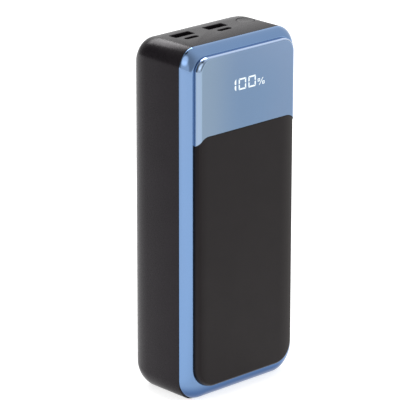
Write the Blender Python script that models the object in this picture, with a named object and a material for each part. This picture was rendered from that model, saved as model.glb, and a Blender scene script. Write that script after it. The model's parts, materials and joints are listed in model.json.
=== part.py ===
"""Large-capacity power bank: an upright slab with a tub-shaped rear housing, a chromed front frame,
a raised display lens above a black front panel, and the battery and electronics inside.

Frame: +Z up, front towards -Y, origin at the middle of the base. Dimensions below are in millimetres.
"""

import math

import bmesh
import bpy
from mathutils import Matrix, Vector

MM = 0.001

# Overall size
WIDTH = 75.0
DEPTH = 45.0
HEIGHT = 182.0
CORNER = 10.0            # outline corner radius at the seam
CORNER_STEPS = 8         # segments in each quarter of an outline
FIT_GAP = 0.3            # gap between pieces that touch
THIN_GAP = 0.15          # gap between a thin sheet and its neighbours

# Front frame: a rounded bead round the front edge, a flat ledge inside it, and a tray floor
BEAD_INSET = 3.6         # from the outline to the ledge, at the sides
BEAD_INSET_TOP = 3.7
BEAD_INSET_BASE = 5.2
BEAD_FORWARD = 5.7       # from the seam to the ledge
BEAD_POWER = 1.5         # the bead's section lies between an ellipse, at 2, and a chamfer, at 1
BEAD_CORNER_BASE = 13.0  # corner radius of the bead's lower corners at the seam
BEAD_CORNER_DROP = 0.7   # how much less the bead's corner radii are at the ledge
SEAT_INSET = 4.65        # from the outline to the side of the recess, at the sides
SEAT_INSET_TOP = 3.95
SEAT_INSET_BASE = 6.95
PANE_CORNER = 7.5        # upper corner radius of the recess and of the panes in it
PANE_CORNER_BASE = 10.0  # and their lower corner radius
PANE_GAP = 0.25
PANE_RISE = 3.6          # how far the lens and the panel stand in front of the ledge
EDGE_DEPTH = 3.3         # the part of that rise in which their edges curve in
EDGE_WIDTH = 1.9         # width of that curve
RECESS_DEPTH = 2.3
FLOOR_THICKNESS = 1.4
LIP_DEPTH = 3.0
LIP_THICKNESS = 1.9
SEAM_GAP = 0.3

# Rear housing
WALL = 2.2
REAR_ROUND_INSET = 6.0   # the rear edges curve in by this much
REAR_ROUND_DEPTH = 12.8  # over this depth
REAR_STEPS = 7

# Black panel inside the pane outline, and the lens above it
PANEL_TOP = 138.2
PANEL_CORNER = 6.5
SPLIT_GAP = 0.25         # between the lens and the panel
DISH_RIM = 2.4           # width of the rim round the hollow behind a pane
DISH_WALL = 1.5          # thickness of a pane in front of its hollow

# Ports and button on the top face
PORT_X = (-16.9, 5.2)
USB_A_Y = 6.7
USB_C_Y = -0.2
USB_A_MOUTH = (12.6, 5.2)
USB_C_MOUTH = (8.5, 2.7)
USB_A_SHELL = (13.1, 5.7, 14.0)
USB_C_SHELL = (8.94, 3.26, 7.6)
SHELL_WALL = 0.3
BUTTON_X = 24.4
BUTTON_Y = 5.0
BUTTON_RADIUS = 4.4
BUTTON_HOLE_RADIUS = 4.7
BUTTON_FLANGE_RADIUS = 5.1
BUTTON_PLAY = 0.6        # between the flange and the wall above it
BUTTON_STEM_Z = 177.3    # lower end of the stem; it travels 0.4 down

# Main board, standing upright under the ports
BOARD_FRONT = 1.75
BOARD_THICKNESS = 1.6
BOARD_X = (-31.5, 31.5)
BOARD_Z = (139.2, 177.0)
CARRIER_Z = (136.6, 138.2)
CARRIER_X = 33.0
CARRIER_Y = (-8.5, 16.5)
EAR_X = (26.4, 31.4)
BOARD_SCREW_Z = 144.5

# Battery: three pouch cells, one behind the other
CELL_X = 31.0
CELL_THICKNESS = 9.8
CELL_FRONT = -13.0
CELL_Z = (16.2, 123.0)
SHELF_Z = (12.6, 14.4)
CELL_TERRACE = 5.0
TERRACE_X = 22.0
FOAM_THICKNESS = 0.8
CELL_GAP = 0.2
TAB_X = (-14.0, 14.0)
PROTECTION_Z = (129.8, 131.0)

# Screw posts that hold the front frame to the housing
POSTS = ((25.0, 13.0), (26.5, 130.6))   # (x, z), mirrored to -x
POST_RADIUS = 2.8
POST_HOLE_RADIUS = 1.4
POST_HOLE_DEPTH = 10.0
SCREW_RADIUS = 1.1
SCREW_HEAD_RADIUS = 2.3
SCREW_HEAD_HEIGHT = 1.3
SCREW_LENGTH = 8.5

# Display behind the lens
DISPLAY_X = 3.5
DISPLAY_Z = 160.0
DISPLAY_SIZE = (30.0, 13.0)
DISPLAY_BOARD_SIZE = (40.0, 22.0)

FRONT_Y = -DEPTH / 2
BACK_Y = DEPTH / 2
SEAM_Y = FRONT_Y + PANE_RISE + BEAD_FORWARD
CREST_Y = SEAM_Y - BEAD_FORWARD
FLOOR_FRONT_Y = CREST_Y + RECESS_DEPTH
FLOOR_BACK_Y = FLOOR_FRONT_Y + FLOOR_THICKNESS
PANE_BACK_Y = FLOOR_FRONT_Y - 0.4
BOARD_BACK = BOARD_FRONT + BOARD_THICKNESS
PANE_X = WIDTH / 2 - SEAT_INSET - PANE_GAP
PANE_LOW = SEAT_INSET_BASE + PANE_GAP
PANE_HIGH = HEIGHT - SEAT_INSET_TOP - PANE_GAP
WALL_TOP = HEIGHT - WALL
DISH_BACK_Y = FRONT_Y + DISH_WALL


# ---------------------------------------------------------------- materials

def make_material(name, colour, roughness, metallic=0.0, alpha=1.0):
    material = bpy.data.materials.new(name)
    material.use_nodes = True
    shader = material.node_tree.nodes["Principled BSDF"]
    shader.inputs["Base Color"].default_value = (*colour, 1.0)
    shader.inputs["Roughness"].default_value = roughness
    shader.inputs["Metallic"].default_value = metallic
    shader.inputs["Alpha"].default_value = alpha
    material.diffuse_color = (*colour, alpha)
    return material


def make_materials():
    return {
        "housing": make_material("housing_plastic", (0.035, 0.034, 0.035), 0.55),
        "frame": make_material("frame_chrome", (0.16, 0.3, 0.62), 0.12, 1.0),
        "lens": make_material("lens_mirror", (0.3, 0.42, 0.6), 0.15, 0.9),
        "panel": make_material("panel_plastic", (0.033, 0.031, 0.031), 0.5),
        "button": make_material("button_plastic", (0.05, 0.05, 0.05), 0.45),
        "foam": make_material("black_foam", (0.03, 0.03, 0.032), 0.95),
        "tape": make_material("adhesive_tape", (0.75, 0.74, 0.68), 0.6),
        "fibre": make_material("fibre_sheet", (0.62, 0.55, 0.38), 0.8),
        "carrier": make_material("carrier_plastic", (0.55, 0.56, 0.57), 0.5),
        "board": make_material("circuit_board", (0.02, 0.12, 0.07), 0.4),
        "steel": make_material("plated_steel", (0.6, 0.6, 0.6), 0.3, 1.0),
        "insulator": make_material("connector_plastic", (0.02, 0.02, 0.022), 0.5),
        "chip": make_material("chip_plastic", (0.015, 0.015, 0.017), 0.5),
        "ferrite": make_material("ferrite", (0.1, 0.1, 0.11), 0.6),
        "aluminium": make_material("can_aluminium", (0.7, 0.71, 0.73), 0.35, 1.0),
        "nickel": make_material("nickel_strip", (0.65, 0.62, 0.55), 0.3, 1.0),
        "foil": make_material("cell_foil", (0.7, 0.72, 0.75), 0.35, 0.9),
        "red": make_material("red_insulation", (0.6, 0.03, 0.02), 0.5),
        "black": make_material("black_insulation", (0.02, 0.02, 0.02), 0.5),
        "ribbon": make_material("ribbon_film", (0.75, 0.4, 0.1), 0.4),
        "display": make_material("display_plastic", (0.04, 0.04, 0.045), 0.3),
    }


# ---------------------------------------------------------------- shape helpers

def add_object(name, mesh, material):
    obj = bpy.data.objects.new(name, mesh)
    bpy.context.scene.collection.objects.link(obj)
    if material is not None:
        mesh.materials.append(material)
    return obj


def finish_mesh(bm, name, material, smooth_angle=None):
    bmesh.ops.recalc_face_normals(bm, faces=bm.faces)
    bmesh.ops.scale(bm, vec=Vector((MM, MM, MM)), verts=bm.verts)
    mesh = bpy.data.meshes.new(name)
    bm.to_mesh(mesh)
    bm.free()
    if smooth_angle is not None:
        mesh.shade_smooth()
        mesh.set_sharp_from_angle(angle=math.radians(smooth_angle))
    return add_object(name, mesh, material)


def rounded_outline(half_x, low_z, high_z, radius, steps=CORNER_STEPS, centre_x=0.0, base_radius=None):
    """Points (x, z) of a rounded rectangle, anticlockwise seen from the front."""
    points = []
    base_radius = radius if base_radius is None else base_radius
    corners = ((half_x, high_z, 0, radius), (-half_x, high_z, 90, radius),
               (-half_x, low_z, 180, base_radius), (half_x, low_z, 270, base_radius))
    for corner_x, corner_z, start, radius in corners:
        middle_x = corner_x - math.copysign(radius, corner_x)
        middle_z = corner_z - radius if corner_z == high_z else corner_z + radius
        for step in range(steps + 1):
            angle = math.radians(start + 90 * step / steps)
            x = centre_x + middle_x + radius * math.cos(angle)
            z = middle_z + radius * math.sin(angle)
            points.append((x, z))
    return points


def inset_outline(inset, radius=None):
    """The object's own outline, moved inwards."""
    radius = CORNER - inset if radius is None else radius
    return framed_outline(inset, inset, inset, radius)


def framed_outline(side, top, base, radius, base_radius=None):
    """The object's own outline, moved inwards by a different distance on each side."""
    return rounded_outline(WIDTH / 2 - side, base, HEIGHT - top, radius, base_radius=base_radius)


def add_loft(bm, rings):
    """A closed body through rings of (outline, y), capped at both ends."""
    loops = []
    for outline, y in rings:
        loops.append([bm.verts.new((x, y, z)) for x, z in outline])
    count = len(loops[0])
    for first, second in zip(loops, loops[1:]):
        for index in range(count):
            following = (index + 1) % count
            bm.faces.new((first[index], first[following], second[following], second[index]))
    bm.faces.new(loops[0])
    bm.faces.new(loops[-1])


def loft(name, rings, material, smooth_angle=35):
    bm = bmesh.new()
    add_loft(bm, rings)
    return finish_mesh(bm, name, material, smooth_angle)


def add_box(bm, x, y, z):
    """x, y and z are (low, high) pairs."""
    size = Matrix.Diagonal((x[1] - x[0], y[1] - y[0], z[1] - z[0], 1.0))
    place = Matrix.Translation((sum(x) / 2, sum(y) / 2, sum(z) / 2))
    return bmesh.ops.create_cube(bm, size=1.0, matrix=place @ size)["verts"]


def box(name, x, y, z, material, bevel=0.0):
    bm = bmesh.new()
    add_box(bm, x, y, z)
    if bevel > 0:
        bmesh.ops.bevel(bm, geom=bm.edges[:], offset=bevel, segments=2, profile=0.5, affect="EDGES")
    return finish_mesh(bm, name, material, 35)


def add_cylinder(bm, centre, axis, radius, length, segments=20, top_radius=None):
    """A cylinder or cone from centre, its first end, along axis."""
    turn = Vector((0, 0, 1)).rotation_difference(Vector(axis)).to_matrix().to_4x4()
    place = Matrix.Translation(centre) @ turn @ Matrix.Translation((0, 0, length / 2))
    end_radius = radius if top_radius is None else top_radius
    bmesh.ops.create_cone(bm, cap_ends=True, segments=segments, radius1=radius, radius2=end_radius,
                          depth=length, matrix=place)


def turned(name, profile, centre, axis, material, segments=24):
    """A solid turned round axis through centre; profile lists (radius, height) from end to end."""
    turn = Vector((0, 0, 1)).rotation_difference(Vector(axis)).to_matrix().to_4x4()
    place = Matrix.Translation(centre) @ turn
    bm = bmesh.new()
    loops = []
    for radius, height in profile:
        loop = []
        for step in range(segments):
            angle = 2 * math.pi * step / segments
            point = Vector((radius * math.cos(angle), radius * math.sin(angle), height))
            loop.append(bm.verts.new(place @ point))
        loops.append(loop)
    for first, second in zip(loops, loops[1:]):
        for index in range(segments):
            following = (index + 1) % segments
            bm.faces.new((first[index], first[following], second[following], second[index]))
    bm.faces.new(loops[0])
    bm.faces.new(loops[-1])
    return finish_mesh(bm, name, material, 35)


def as_tool(obj):
    obj.hide_render = True
    obj.display_type = "WIRE"
    return obj


def combine(target, tool, operation):
    """Cuts, joins or intersects target with tool, which stays hidden."""
    modifier = target.modifiers.new(tool.name, "BOOLEAN")
    modifier.operation = operation
    modifier.solver = "EXACT"
    modifier.object = as_tool(tool)


def post_places():
    return [(side * x, z) for side in (-1, 1) for x, z in POSTS]


# ---------------------------------------------------------------- enclosure

def rear_housing(materials):
    """A tub, open at the front, with posts, a cell shelf and ledges, cut for the ports and the button."""
    straight_end = BACK_Y - REAR_ROUND_DEPTH
    rings = []
    for step in range(REAR_STEPS + 1):
        angle = math.pi / 2 * (1 - step / REAR_STEPS)
        inset = REAR_ROUND_INSET * (1 - math.cos(angle))
        y = straight_end + REAR_ROUND_DEPTH * math.sin(angle)
        rings.append((inset_outline(inset, radius=CORNER), y))
    rings.append((inset_outline(0), SEAM_Y + SEAM_GAP / 2))
    rings.append((inset_outline(WALL), SEAM_Y + SEAM_GAP / 2))
    for step in range(REAR_STEPS + 1):
        angle = math.pi / 2 * step / REAR_STEPS
        inset = WALL + REAR_ROUND_INSET * (1 - math.cos(angle))
        y = straight_end + (REAR_ROUND_DEPTH - WALL) * math.sin(angle)
        rings.append((inset_outline(inset, radius=CORNER - WALL), y))
    housing = loft("rear_housing", rings, materials["housing"])
    combine(housing, housing_posts(), "UNION")
    combine(housing, housing_ribs(), "UNION")
    combine(housing, housing_openings(), "DIFFERENCE")


def housing_posts():
    bm = bmesh.new()
    back = BACK_Y - WALL / 2
    post_front = FLOOR_BACK_Y + 0.2
    for x, z in post_places():
        add_cylinder(bm, (x, back, z), (0, -1, 0), POST_RADIUS, back - post_front, 16)
    return finish_mesh(bm, "housing_posts_tool", None)


def housing_ribs():
    """The shelf under the cells and the two ledges under the board carrier."""
    bm = bmesh.new()
    back = BACK_Y - WALL / 2
    add_box(bm, (-24.0, 24.0), (-12.0, back), SHELF_Z)
    for side in (-1, 1):
        ends = sorted((side * (WIDTH / 2 - WALL / 2), side * (WIDTH / 2 - WALL - 3.0)))
        add_box(bm, ends, (CARRIER_Y[0], 8.0), (CARRIER_Z[0] - 2.3, CARRIER_Z[0] - FIT_GAP))
    return finish_mesh(bm, "housing_ribs_tool", None)


def housing_openings():
    bm = bmesh.new()
    above = (WALL_TOP - 1.5, HEIGHT + 2.0)
    for x in PORT_X:
        add_slot(bm, x, USB_A_Y, USB_A_MOUTH, 0.6, above)
        add_slot(bm, x, USB_C_Y, USB_C_MOUTH, USB_C_MOUTH[1] / 2, above)
    add_cylinder(bm, (BUTTON_X, BUTTON_Y, above[0]), (0, 0, 1), BUTTON_HOLE_RADIUS, above[1] - above[0], 32)
    for x, z in post_places():
        start = FLOOR_BACK_Y - 1.0
        add_cylinder(bm, (x, start, z), (0, 1, 0), POST_HOLE_RADIUS, POST_HOLE_DEPTH + 1.0, 16)
    return finish_mesh(bm, "housing_openings_tool", None)


def add_slot(bm, centre_x, centre_y, size, radius, z):
    """An upright prism on a rounded rectangle, size (x, y), corner radius radius."""
    outline = []
    for corner, (sign_x, sign_y) in enumerate(((1, 1), (-1, 1), (-1, -1), (1, -1))):
        middle_x = centre_x + sign_x * (size[0] / 2 - radius)
        middle_y = centre_y + sign_y * (size[1] / 2 - radius)
        for step in range(6):
            angle = math.radians(90 * corner + 90 * step / 5)
            outline.append((middle_x + radius * math.cos(angle), middle_y + radius * math.sin(angle)))
    if radius * 2 >= size[1]:
        outline = [point for index, point in enumerate(outline) if index not in (11, 23)]
    loops = [[bm.verts.new((x, y, height)) for x, y in outline] for height in z]
    count = len(outline)
    for index in range(count):
        following = (index + 1) % count
        bm.faces.new((loops[0][index], loops[0][following], loops[1][following], loops[1][index]))
    bm.faces.new(loops[0])
    bm.faces.new(loops[1])


def front_frame(materials):
    """The chromed bead with its tray floor and the lip that enters the housing, as one moulding."""
    seat = framed_outline(SEAT_INSET, SEAT_INSET_TOP, SEAT_INSET_BASE, PANE_CORNER, PANE_CORNER_BASE)
    rear = SEAM_Y - SEAM_GAP / 2
    rings = [(seat, FLOOR_FRONT_Y), (seat, CREST_Y)]
    bead_steps = 7
    for step in range(bead_steps + 1):
        angle = math.pi / 2 * (1 - step / bead_steps)
        inward = 1 - max(math.cos(angle), 0.0) ** (2 / BEAD_POWER)
        forward = math.sin(angle) ** (2 / BEAD_POWER)
        drop = BEAD_CORNER_DROP * inward
        outline = framed_outline(BEAD_INSET * inward, BEAD_INSET_TOP * inward, BEAD_INSET_BASE * inward,
                                 CORNER - drop, BEAD_CORNER_BASE - drop)
        rings.append((outline, rear + (CREST_Y - rear) * forward))
    lip = WALL + FIT_GAP
    rings.append((inset_outline(lip), rear))
    rings.append((inset_outline(lip), SEAM_Y + LIP_DEPTH))
    rings.append((inset_outline(lip + LIP_THICKNESS), SEAM_Y + LIP_DEPTH))
    rings.append((inset_outline(lip + LIP_THICKNESS), FLOOR_BACK_Y))
    frame = loft("front_frame", rings, materials["frame"])
    combine(frame, frame_openings(), "DIFFERENCE")


def frame_openings():
    bm = bmesh.new()
    through = (FLOOR_FRONT_Y - 1.0, FLOOR_BACK_Y + 1.0)
    half_x = DISPLAY_SIZE[0] / 2 + 0.4
    half_z = DISPLAY_SIZE[1] / 2 + 0.4
    add_box(bm, (DISPLAY_X - half_x, DISPLAY_X + half_x), through, (DISPLAY_Z - half_z, DISPLAY_Z + half_z))
    for x, z in post_places():
        add_cylinder(bm, (x, through[0], z), (0, 1, 0), POST_HOLE_RADIUS, through[1] - through[0], 16)
    return finish_mesh(bm, "frame_openings_tool", None)


def pane_rings():
    """The raised pane before it is split into lens and panel: a thick plate with a rounded front edge."""
    rings = [(pane_outline(0.0), PANE_BACK_Y)]
    steps = 7
    for step in range(steps + 1):
        angle = math.pi / 2 * step / steps
        inset = EDGE_WIDTH * (1 - math.cos(angle))
        rings.append((pane_outline(inset), FRONT_Y + EDGE_DEPTH * (1 - math.sin(angle))))
    return rings


def pane_outline(inset):
    drop = 0.6 * inset
    return rounded_outline(PANE_X - inset, PANE_LOW + inset, PANE_HIGH - inset, PANE_CORNER - drop,
                           base_radius=PANE_CORNER_BASE - drop)


def front_panel(materials):
    panel = loft("front_panel", pane_rings(), materials["panel"])
    combine(panel, panel_outline_tool("panel_outline_tool", 0.0), "INTERSECT")
    dish = (PANEL_TOP - DISH_RIM, PANE_LOW + DISH_RIM)
    combine(panel, dish_tool("panel_dish_tool", dish[1], dish[0]), "DIFFERENCE")


def display_lens(materials):
    lens = loft("display_lens", pane_rings(), materials["lens"])
    combine(lens, panel_outline_tool("lens_split_tool", SPLIT_GAP), "DIFFERENCE")
    dish = (PANEL_TOP + SPLIT_GAP + DISH_RIM, PANE_HIGH - DISH_RIM)
    combine(lens, dish_tool("lens_dish_tool", *dish), "DIFFERENCE")


def panel_outline_tool(name, grow):
    """A prism wider than the pane, whose rounded top corners shape the panel and the lens above it."""
    outline = rounded_outline(PANE_X + 0.2 + grow, -10.0, PANEL_TOP + grow, PANEL_CORNER + grow)
    return loft(name, [(outline, FRONT_Y - 3.0), (outline, FLOOR_BACK_Y)], None)


def dish_tool(name, low_z, high_z):
    outline = rounded_outline(PANE_X - DISH_RIM, low_z, high_z, PANE_CORNER - DISH_RIM, 4)
    return loft(name, [(outline, DISH_BACK_Y), (outline, FLOOR_BACK_Y)], None)


def tape_ring(name, low_z, high_z, material):
    """A flat ring of tape under the rim of a pane."""
    half_x = PANE_X - 0.5
    width = DISH_RIM - 0.9
    y = (PANE_BACK_Y + THIN_GAP * 0.8, FLOOR_FRONT_Y - THIN_GAP * 0.8)
    radius = PANEL_CORNER - 0.5
    outer = rounded_outline(half_x, low_z, high_z, radius, 5)
    inner = rounded_outline(half_x - width, low_z + width, high_z - width, radius - width, 5)
    bm = bmesh.new()
    loops = [[bm.verts.new((x, depth, z)) for x, z in outline]
             for outline, depth in ((outer, y[0]), (outer, y[1]), (inner, y[1]), (inner, y[0]))]
    count = len(outer)
    for first, second in zip(loops, loops[1:] + loops[:1]):
        for index in range(count):
            following = (index + 1) % count
            bm.faces.new((first[index], first[following], second[following], second[index]))
    return finish_mesh(bm, name, material)


def tapes(materials):
    tape_ring("panel_tape", PANE_LOW + 3.0, PANEL_TOP - 0.5, materials["tape"])
    tape_ring("lens_tape", PANEL_TOP + SPLIT_GAP + 0.5, PANE_HIGH - 3.0, materials["tape"])


def frame_screws(materials):
    head_seat = FLOOR_FRONT_Y - FIT_GAP
    profile = [(SCREW_RADIUS * 0.4, -SCREW_LENGTH), (SCREW_RADIUS, -SCREW_LENGTH + 1.5), (SCREW_RADIUS, 0.0),
               (SCREW_HEAD_RADIUS, 0.0), (SCREW_HEAD_RADIUS, SCREW_HEAD_HEIGHT * 0.6),
               (SCREW_HEAD_RADIUS * 0.7, SCREW_HEAD_HEIGHT)]
    for number, (x, z) in enumerate(post_places(), 1):
        turned(f"frame_screw_{number}", profile, (x, head_seat, z), (0, -1, 0), materials["steel"], 16)


# ---------------------------------------------------------------- ports and button

def usb_a_port(number, centre_x, materials):
    width, depth, length = USB_A_SHELL
    top = WALL_TOP - FIT_GAP
    x = (centre_x - width / 2, centre_x + width / 2)
    y = (USB_A_Y - depth / 2, USB_A_Y + depth / 2)
    shell = box(f"usb_a_shell_{number}", x, y, (top - length, top), materials["steel"])
    bm = bmesh.new()
    inner_x = (x[0] + SHELL_WALL, x[1] - SHELL_WALL)
    inner_y = (y[0] + SHELL_WALL, y[1] - SHELL_WALL)
    add_box(bm, inner_x, inner_y, (top - length + SHELL_WALL, top + 1.0))
    combine(shell, finish_mesh(bm, f"usb_a_cavity_tool_{number}", None), "DIFFERENCE")
    tongue_y = (inner_y[1] - 2.2, inner_y[1] - 0.4)
    base_x = (inner_x[0] + 0.3, inner_x[1] - 0.3)
    base_y = (inner_y[0] + 0.3, inner_y[1] - 0.3)
    base = (top - length + SHELL_WALL + FIT_GAP, top - length + 4.0)
    tongue = box(f"usb_a_tongue_{number}", base_x, base_y, base, materials["insulator"])
    bm = bmesh.new()
    add_box(bm, (centre_x - 5.55, centre_x + 5.55), tongue_y, (base[1] - 1.0, top - 1.5))
    combine(tongue, finish_mesh(bm, f"usb_a_blade_tool_{number}", None), "UNION")


def usb_c_port(number, centre_x, materials):
    width, depth, length = USB_C_SHELL
    top = WALL_TOP - FIT_GAP
    bm = bmesh.new()
    add_slot(bm, centre_x, USB_C_Y, (width, depth), depth / 2, (top - length, top))
    shell = finish_mesh(bm, f"usb_c_shell_{number}", materials["steel"], 35)
    bm = bmesh.new()
    inner = (width - 2 * SHELL_WALL, depth - 2 * SHELL_WALL)
    add_slot(bm, centre_x, USB_C_Y, inner, inner[1] / 2, (top - length + SHELL_WALL, top + 1.0))
    combine(shell, finish_mesh(bm, f"usb_c_cavity_tool_{number}", None), "DIFFERENCE")
    base = (top - length + SHELL_WALL + FIT_GAP, top - length + 2.4)
    y = (USB_C_Y - 0.95, USB_C_Y + 0.95)
    tongue = box(f"usb_c_tongue_{number}", (centre_x - 3.0, centre_x + 3.0), y, base, materials["insulator"])
    bm = bmesh.new()
    blade_y = (USB_C_Y - 0.35, USB_C_Y + 0.35)
    add_box(bm, (centre_x - 3.35, centre_x + 3.35), blade_y, (base[1] - 0.8, top - 0.9))
    combine(tongue, finish_mesh(bm, f"usb_c_blade_tool_{number}", None), "UNION")


def power_button(materials):
    """A round cap with a flange under the top wall and a stem down to the switch."""
    flange_top = WALL_TOP - BUTTON_PLAY
    top = HEIGHT - 0.1
    flange_bottom = flange_top - 0.9
    profile = [(1.5, BUTTON_STEM_Z), (1.5, flange_bottom), (BUTTON_FLANGE_RADIUS, flange_bottom),
               (BUTTON_FLANGE_RADIUS, flange_top), (BUTTON_RADIUS, flange_top),
               (BUTTON_RADIUS, top - 0.4), (BUTTON_RADIUS - 0.4, top)]
    turned("power_button", profile, (BUTTON_X, BUTTON_Y, 0.0), (0, 0, 1), materials["button"], 32)


def tact_switch(materials):
    """A side-mounted switch on the main board; its plunger follows the button."""
    plunger_top = BUTTON_STEM_Z - FIT_GAP
    body_top = plunger_top - 0.9
    y = (BUTTON_Y - 1.4, BUTTON_Y + 1.4)
    x = (BUTTON_X - 3.0, BUTTON_X + 3.0)
    body = box("switch_body", x, y, (body_top - 3.4, body_top), materials["chip"])
    bm = bmesh.new()
    add_cylinder(bm, (BUTTON_X, BUTTON_Y, body_top - 1.4), (0, 0, 1), 1.15, 3.0, 16)
    combine(body, finish_mesh(bm, "switch_bore_tool", None), "DIFFERENCE")
    profile = [(0.85, body_top - 0.8), (0.85, plunger_top)]
    turned("switch_plunger", profile, (BUTTON_X, BUTTON_Y, 0.0), (0, 0, 1), materials["steel"], 16)


# ---------------------------------------------------------------- electronics

def main_board(materials):
    board = box("main_board", BOARD_X, (BOARD_FRONT, BOARD_BACK), BOARD_Z, materials["board"])
    bm = bmesh.new()
    for side in (-1, 1):
        start = (side * sum(EAR_X) / 2, BOARD_FRONT - 1.0, BOARD_SCREW_Z)
        add_cylinder(bm, start, (0, 1, 0), 1.3, BOARD_THICKNESS + 2.0, 16)
    combine(board, finish_mesh(bm, "board_holes_tool", None), "DIFFERENCE")


def on_board_front(name, centre, size, materials, material, bevel=0.0):
    """A part on the board's front side; centre is (x, z) and size is (x, y, z)."""
    x = (centre[0] - size[0] / 2, centre[0] + size[0] / 2)
    z = (centre[1] - size[2] / 2, centre[1] + size[2] / 2)
    y = (BOARD_FRONT - FIT_GAP - size[1], BOARD_FRONT - FIT_GAP)
    return box(name, x, y, z, materials[material], bevel)


def on_board_back(name, centre, size, materials, material, bevel=0.0):
    x = (centre[0] - size[0] / 2, centre[0] + size[0] / 2)
    z = (centre[1] - size[2] / 2, centre[1] + size[2] / 2)
    y = (BOARD_BACK + FIT_GAP, BOARD_BACK + FIT_GAP + size[1])
    return box(name, x, y, z, materials[material], bevel)


def board_parts(materials):
    on_board_front("controller_chip", (-4.0, 158.0), (7.0, 1.0, 7.0), materials, "chip")
    on_board_front("charger_chip", (14.0, 156.0), (5.0, 0.9, 5.0), materials, "chip")
    on_board_front("ribbon_socket", (3.5, 145.4), (10.0, 1.8, 3.2), materials, "insulator")
    for number, x in enumerate((-7.5, 7.5), 1):
        on_board_back(f"inductor_{number}", (x, 151.5), (10.0, 4.6, 10.0), materials, "ferrite", 1.0)
    for number, x in enumerate((-21.0, 17.0, 24.5), 1):
        profile = [(2.6, 0.0), (3.15, 0.8), (3.15, 6.6), (2.7, 7.0)]
        centre = (x, BOARD_BACK + FIT_GAP, 158.0)
        turned(f"capacitor_{number}", profile, centre, (0, 1, 0), materials["aluminium"], 20)


def board_carrier(materials):
    """A shelf across the housing with two ears that the main board is screwed to."""
    carrier = box("board_carrier", (-CARRIER_X, CARRIER_X), CARRIER_Y, CARRIER_Z, materials["carrier"])
    bm = bmesh.new()
    ear_y = (BOARD_BACK + FIT_GAP, BOARD_BACK + FIT_GAP + 4.0)
    for side in (-1, 1):
        ends = sorted((side * EAR_X[0], side * EAR_X[1]))
        add_box(bm, ends, ear_y, (CARRIER_Z[0] + 0.5, BOARD_SCREW_Z + 3.0))
    combine(carrier, finish_mesh(bm, "carrier_ears_tool", None), "UNION")
    bm = bmesh.new()
    for side in (-1, 1):
        start = (side * sum(EAR_X) / 2, BOARD_BACK, BOARD_SCREW_Z)
        add_cylinder(bm, start, (0, 1, 0), 1.3, 3.6, 16)
    add_box(bm, (-22.5, -14.0), (CARRIER_Y[0] - 1.0, -3.0), (CARRIER_Z[0] - 1.0, CARRIER_Z[1] + 1.0))
    combine(carrier, finish_mesh(bm, "carrier_openings_tool", None), "DIFFERENCE")


def board_screws(materials):
    profile = [(0.4, -4.6), (1.0, -3.6), (1.0, 0.0), (1.9, 0.0), (1.9, 0.7), (1.3, 1.1)]
    for number, side in enumerate((-1, 1), 1):
        seat = (side * sum(EAR_X) / 2, BOARD_FRONT - FIT_GAP, BOARD_SCREW_Z)
        turned(f"board_screw_{number}", profile, seat, (0, -1, 0), materials["steel"], 16)


def display_parts(materials):
    half_x = DISPLAY_SIZE[0] / 2
    half_z = DISPLAY_SIZE[1] / 2
    block_y = (DISH_BACK_Y + 0.4, FLOOR_BACK_Y + FIT_GAP)
    x = (DISPLAY_X - half_x, DISPLAY_X + half_x)
    z = (DISPLAY_Z - half_z, DISPLAY_Z + half_z)
    box("display_module", x, block_y, z, materials["display"], 0.3)
    light_shield(materials)
    board_x = DISPLAY_BOARD_SIZE[0] / 2
    board_z = DISPLAY_BOARD_SIZE[1] / 2
    y = (block_y[1] + 0.2, block_y[1] + 1.2)
    x = (DISPLAY_X - board_x, DISPLAY_X + board_x)
    z = (DISPLAY_Z - board_z, DISPLAY_Z + board_z)
    box("display_board", x, y, z, materials["board"])
    display_ribbon(y[1] + FIT_GAP, materials)


def light_shield(materials):
    """A foam ring round the display block, between the lens and the tray floor."""
    inner_x = DISPLAY_SIZE[0] / 2 + 0.7
    inner_z = DISPLAY_SIZE[1] / 2 + 0.7
    y = (DISH_BACK_Y + FIT_GAP, FLOOR_FRONT_Y - FIT_GAP)
    x = (DISPLAY_X - inner_x - 2.0, DISPLAY_X + inner_x + 2.0)
    z = (DISPLAY_Z - inner_z - 2.0, DISPLAY_Z + inner_z + 2.0)
    shield = box("light_shield", x, y, z, materials["foam"])
    bm = bmesh.new()
    add_box(bm, (DISPLAY_X - inner_x, DISPLAY_X + inner_x), (y[0] - 1.0, y[1] + 1.0),
            (DISPLAY_Z - inner_z, DISPLAY_Z + inner_z))
    combine(shield, finish_mesh(bm, "shield_window_tool", None), "DIFFERENCE")


def display_ribbon(start_y, materials):
    """A flat flexible strip in an S from behind the display board down to the socket on the main board."""
    end = (BOARD_FRONT - FIT_GAP - 0.9, 147.3 + FIT_GAP)
    start = (start_y, 152.0)
    half = 0.12
    steps = 14
    centre = []
    for step in range(steps + 1):
        share = step / steps
        eased = share * share * (3 - 2 * share)
        centre.append((start[0] + (end[0] - start[0]) * eased, start[1] + (end[1] - start[1]) * share))
    bm = bmesh.new()
    x = (DISPLAY_X - 4.0, DISPLAY_X + 4.0)
    loops = []
    for index, (y, z) in enumerate(centre):
        before = centre[max(index - 1, 0)]
        after = centre[min(index + 1, steps)]
        along = Vector((after[0] - before[0], after[1] - before[1])).normalized()
        aside = Vector((-along.y, along.x)) * half
        corners = ((x[0], y + aside.x, z + aside.y), (x[1], y + aside.x, z + aside.y),
                   (x[1], y - aside.x, z - aside.y), (x[0], y - aside.x, z - aside.y))
        loops.append([bm.verts.new(corner) for corner in corners])
    for first, second in zip(loops, loops[1:]):
        for index in range(4):
            following = (index + 1) % 4
            bm.faces.new((first[index], first[following], second[following], second[index]))
    bm.faces.new(loops[0])
    bm.faces.new(loops[-1])
    finish_mesh(bm, "display_ribbon", materials["ribbon"])


# ---------------------------------------------------------------- battery

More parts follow.
